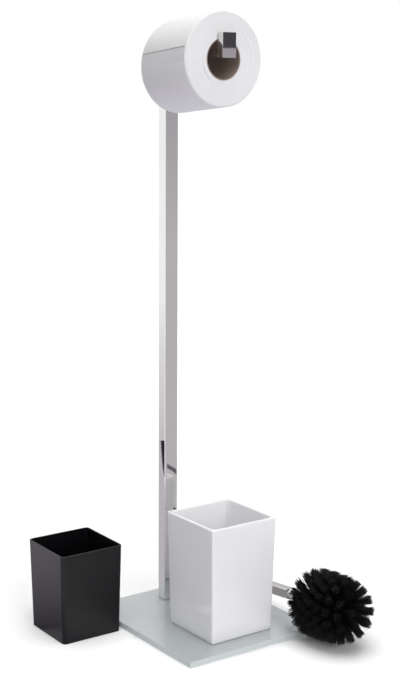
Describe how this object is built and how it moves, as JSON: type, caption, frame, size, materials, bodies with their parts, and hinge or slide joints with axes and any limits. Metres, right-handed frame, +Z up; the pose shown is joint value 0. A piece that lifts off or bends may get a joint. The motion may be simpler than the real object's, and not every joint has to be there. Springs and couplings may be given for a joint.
{
  "type": "toilet roll and brush stand",
  "caption": "Toilet roll and brush stand: frosted glass base, chromed post with an arm for a roll, square white cup with a black liner, and a bristle brush with a square handle.",
  "frame": {"origin": "on the floor, in the middle of the box round the whole set as it stands and lies in the picture; the middle of the glass base is at x 23.0 mm, y 22.7 mm", "axes": "+Z up; -Y is the front, which the arm's tip points to; +X is to the right of someone who faces the front"},
  "size_m": [0.333, 0.3793, 0.7894],
  "materials": {
    "frosted_glass": "acid-etched top, ground edges",
    "chromed_steel": "polished chrome plate",
    "plain_steel": "zinc plated",
    "clear_silicone": "clear, slightly milky",
    "nylon": "natural nylon",
    "white_gloss": "high gloss moulded plastic",
    "black_satin": "satin moulded plastic",
    "black_hub": "moulded plastic",
    "black_bristle": "drawn nylon filament",
    "tissue": "soft embossed tissue",
    "core_board": "spirally wound grey-brown board"
  },
  "bodies": {
    "stand": {"glass_base": "frosted_glass", "foot_pads": "clear_silicone", "screw_bush": "nylon", "base_screw": "plain_steel", "post_gasket": "clear_silicone", "post_foot_plug": "plain_steel", "post_tube": "chromed_steel", "post_top_plug": "plain_steel", "arm_screw": "plain_steel", "arm_tube": "chromed_steel", "arm_end_cap": "chromed_steel", "arm_tip": "chromed_steel"},
    "roll": {"roll_core": "core_board", "roll_paper": "tissue"},
    "cup": {"white_cup": "white_gloss", "cup_pads": "clear_silicone"},
    "liner": {"black_liner": "black_satin"},
    "brush": {"brush_spine": "black_hub", "bristle_nose": "black_bristle", "bristle_row_1": "black_bristle", "bristle_row_2": "black_bristle", "bristle_row_3": "black_bristle", "bristle_row_4": "black_bristle", "bristle_row_5": "black_bristle", "bristle_row_6": "black_bristle", "handle_collar": "chromed_steel", "handle_plug": "plain_steel", "handle_tube": "chromed_steel", "handle_end_cap": "chromed_steel"}
  },
  "joints": [
    {"name": "roll_spin", "type": "hinge", "parent": "stand", "child": "roll", "pos_m": [0.02295, 0.03264, 0.73151], "axis": [0, 1, 0], "continuous": true},
    {"name": "cup_lift", "type": "slide", "parent": "stand", "child": "cup", "axis": [0, 0, 1], "range_m": [0, 0.2]},
    {"name": "liner_lift", "type": "slide", "parent": "stand", "child": "liner", "axis": [0, 0, 1], "range_m": [0, 0.2]},
    {"name": "brush_lift", "type": "slide", "parent": "stand", "child": "brush", "axis": [0, 0, 1], "range_m": [0, 0.3]}
  ]
}
